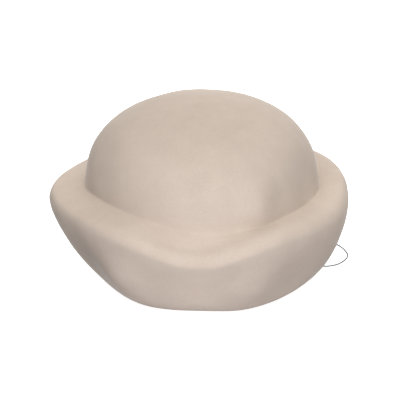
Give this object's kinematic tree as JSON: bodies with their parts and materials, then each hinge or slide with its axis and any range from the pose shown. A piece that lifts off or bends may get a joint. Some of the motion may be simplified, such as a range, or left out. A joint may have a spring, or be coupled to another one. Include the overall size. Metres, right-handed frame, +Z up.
{
  "type": "domed felt hat",
  "caption": "Round felt hat with a domed crown, a rolled bowl-shaped brim turned in at the head opening, and a thin elastic cord.",
  "frame": {"origin": "on the ground under the middle of the felt, level with the underside of the hem", "axes": "+Z up, -Y towards the front of the hat, +X to the side where the cord's loop lies"},
  "size_m": [0.2878, 0.2764, 0.179],
  "materials": {
    "felt": "matt wool felt, warm beige",
    "elastic": "dark grey braided elastic"
  },
  "bodies": {
    "root": {"felt_body": "felt", "elastic_cord": "elastic"}
  },
  "joints": []
}
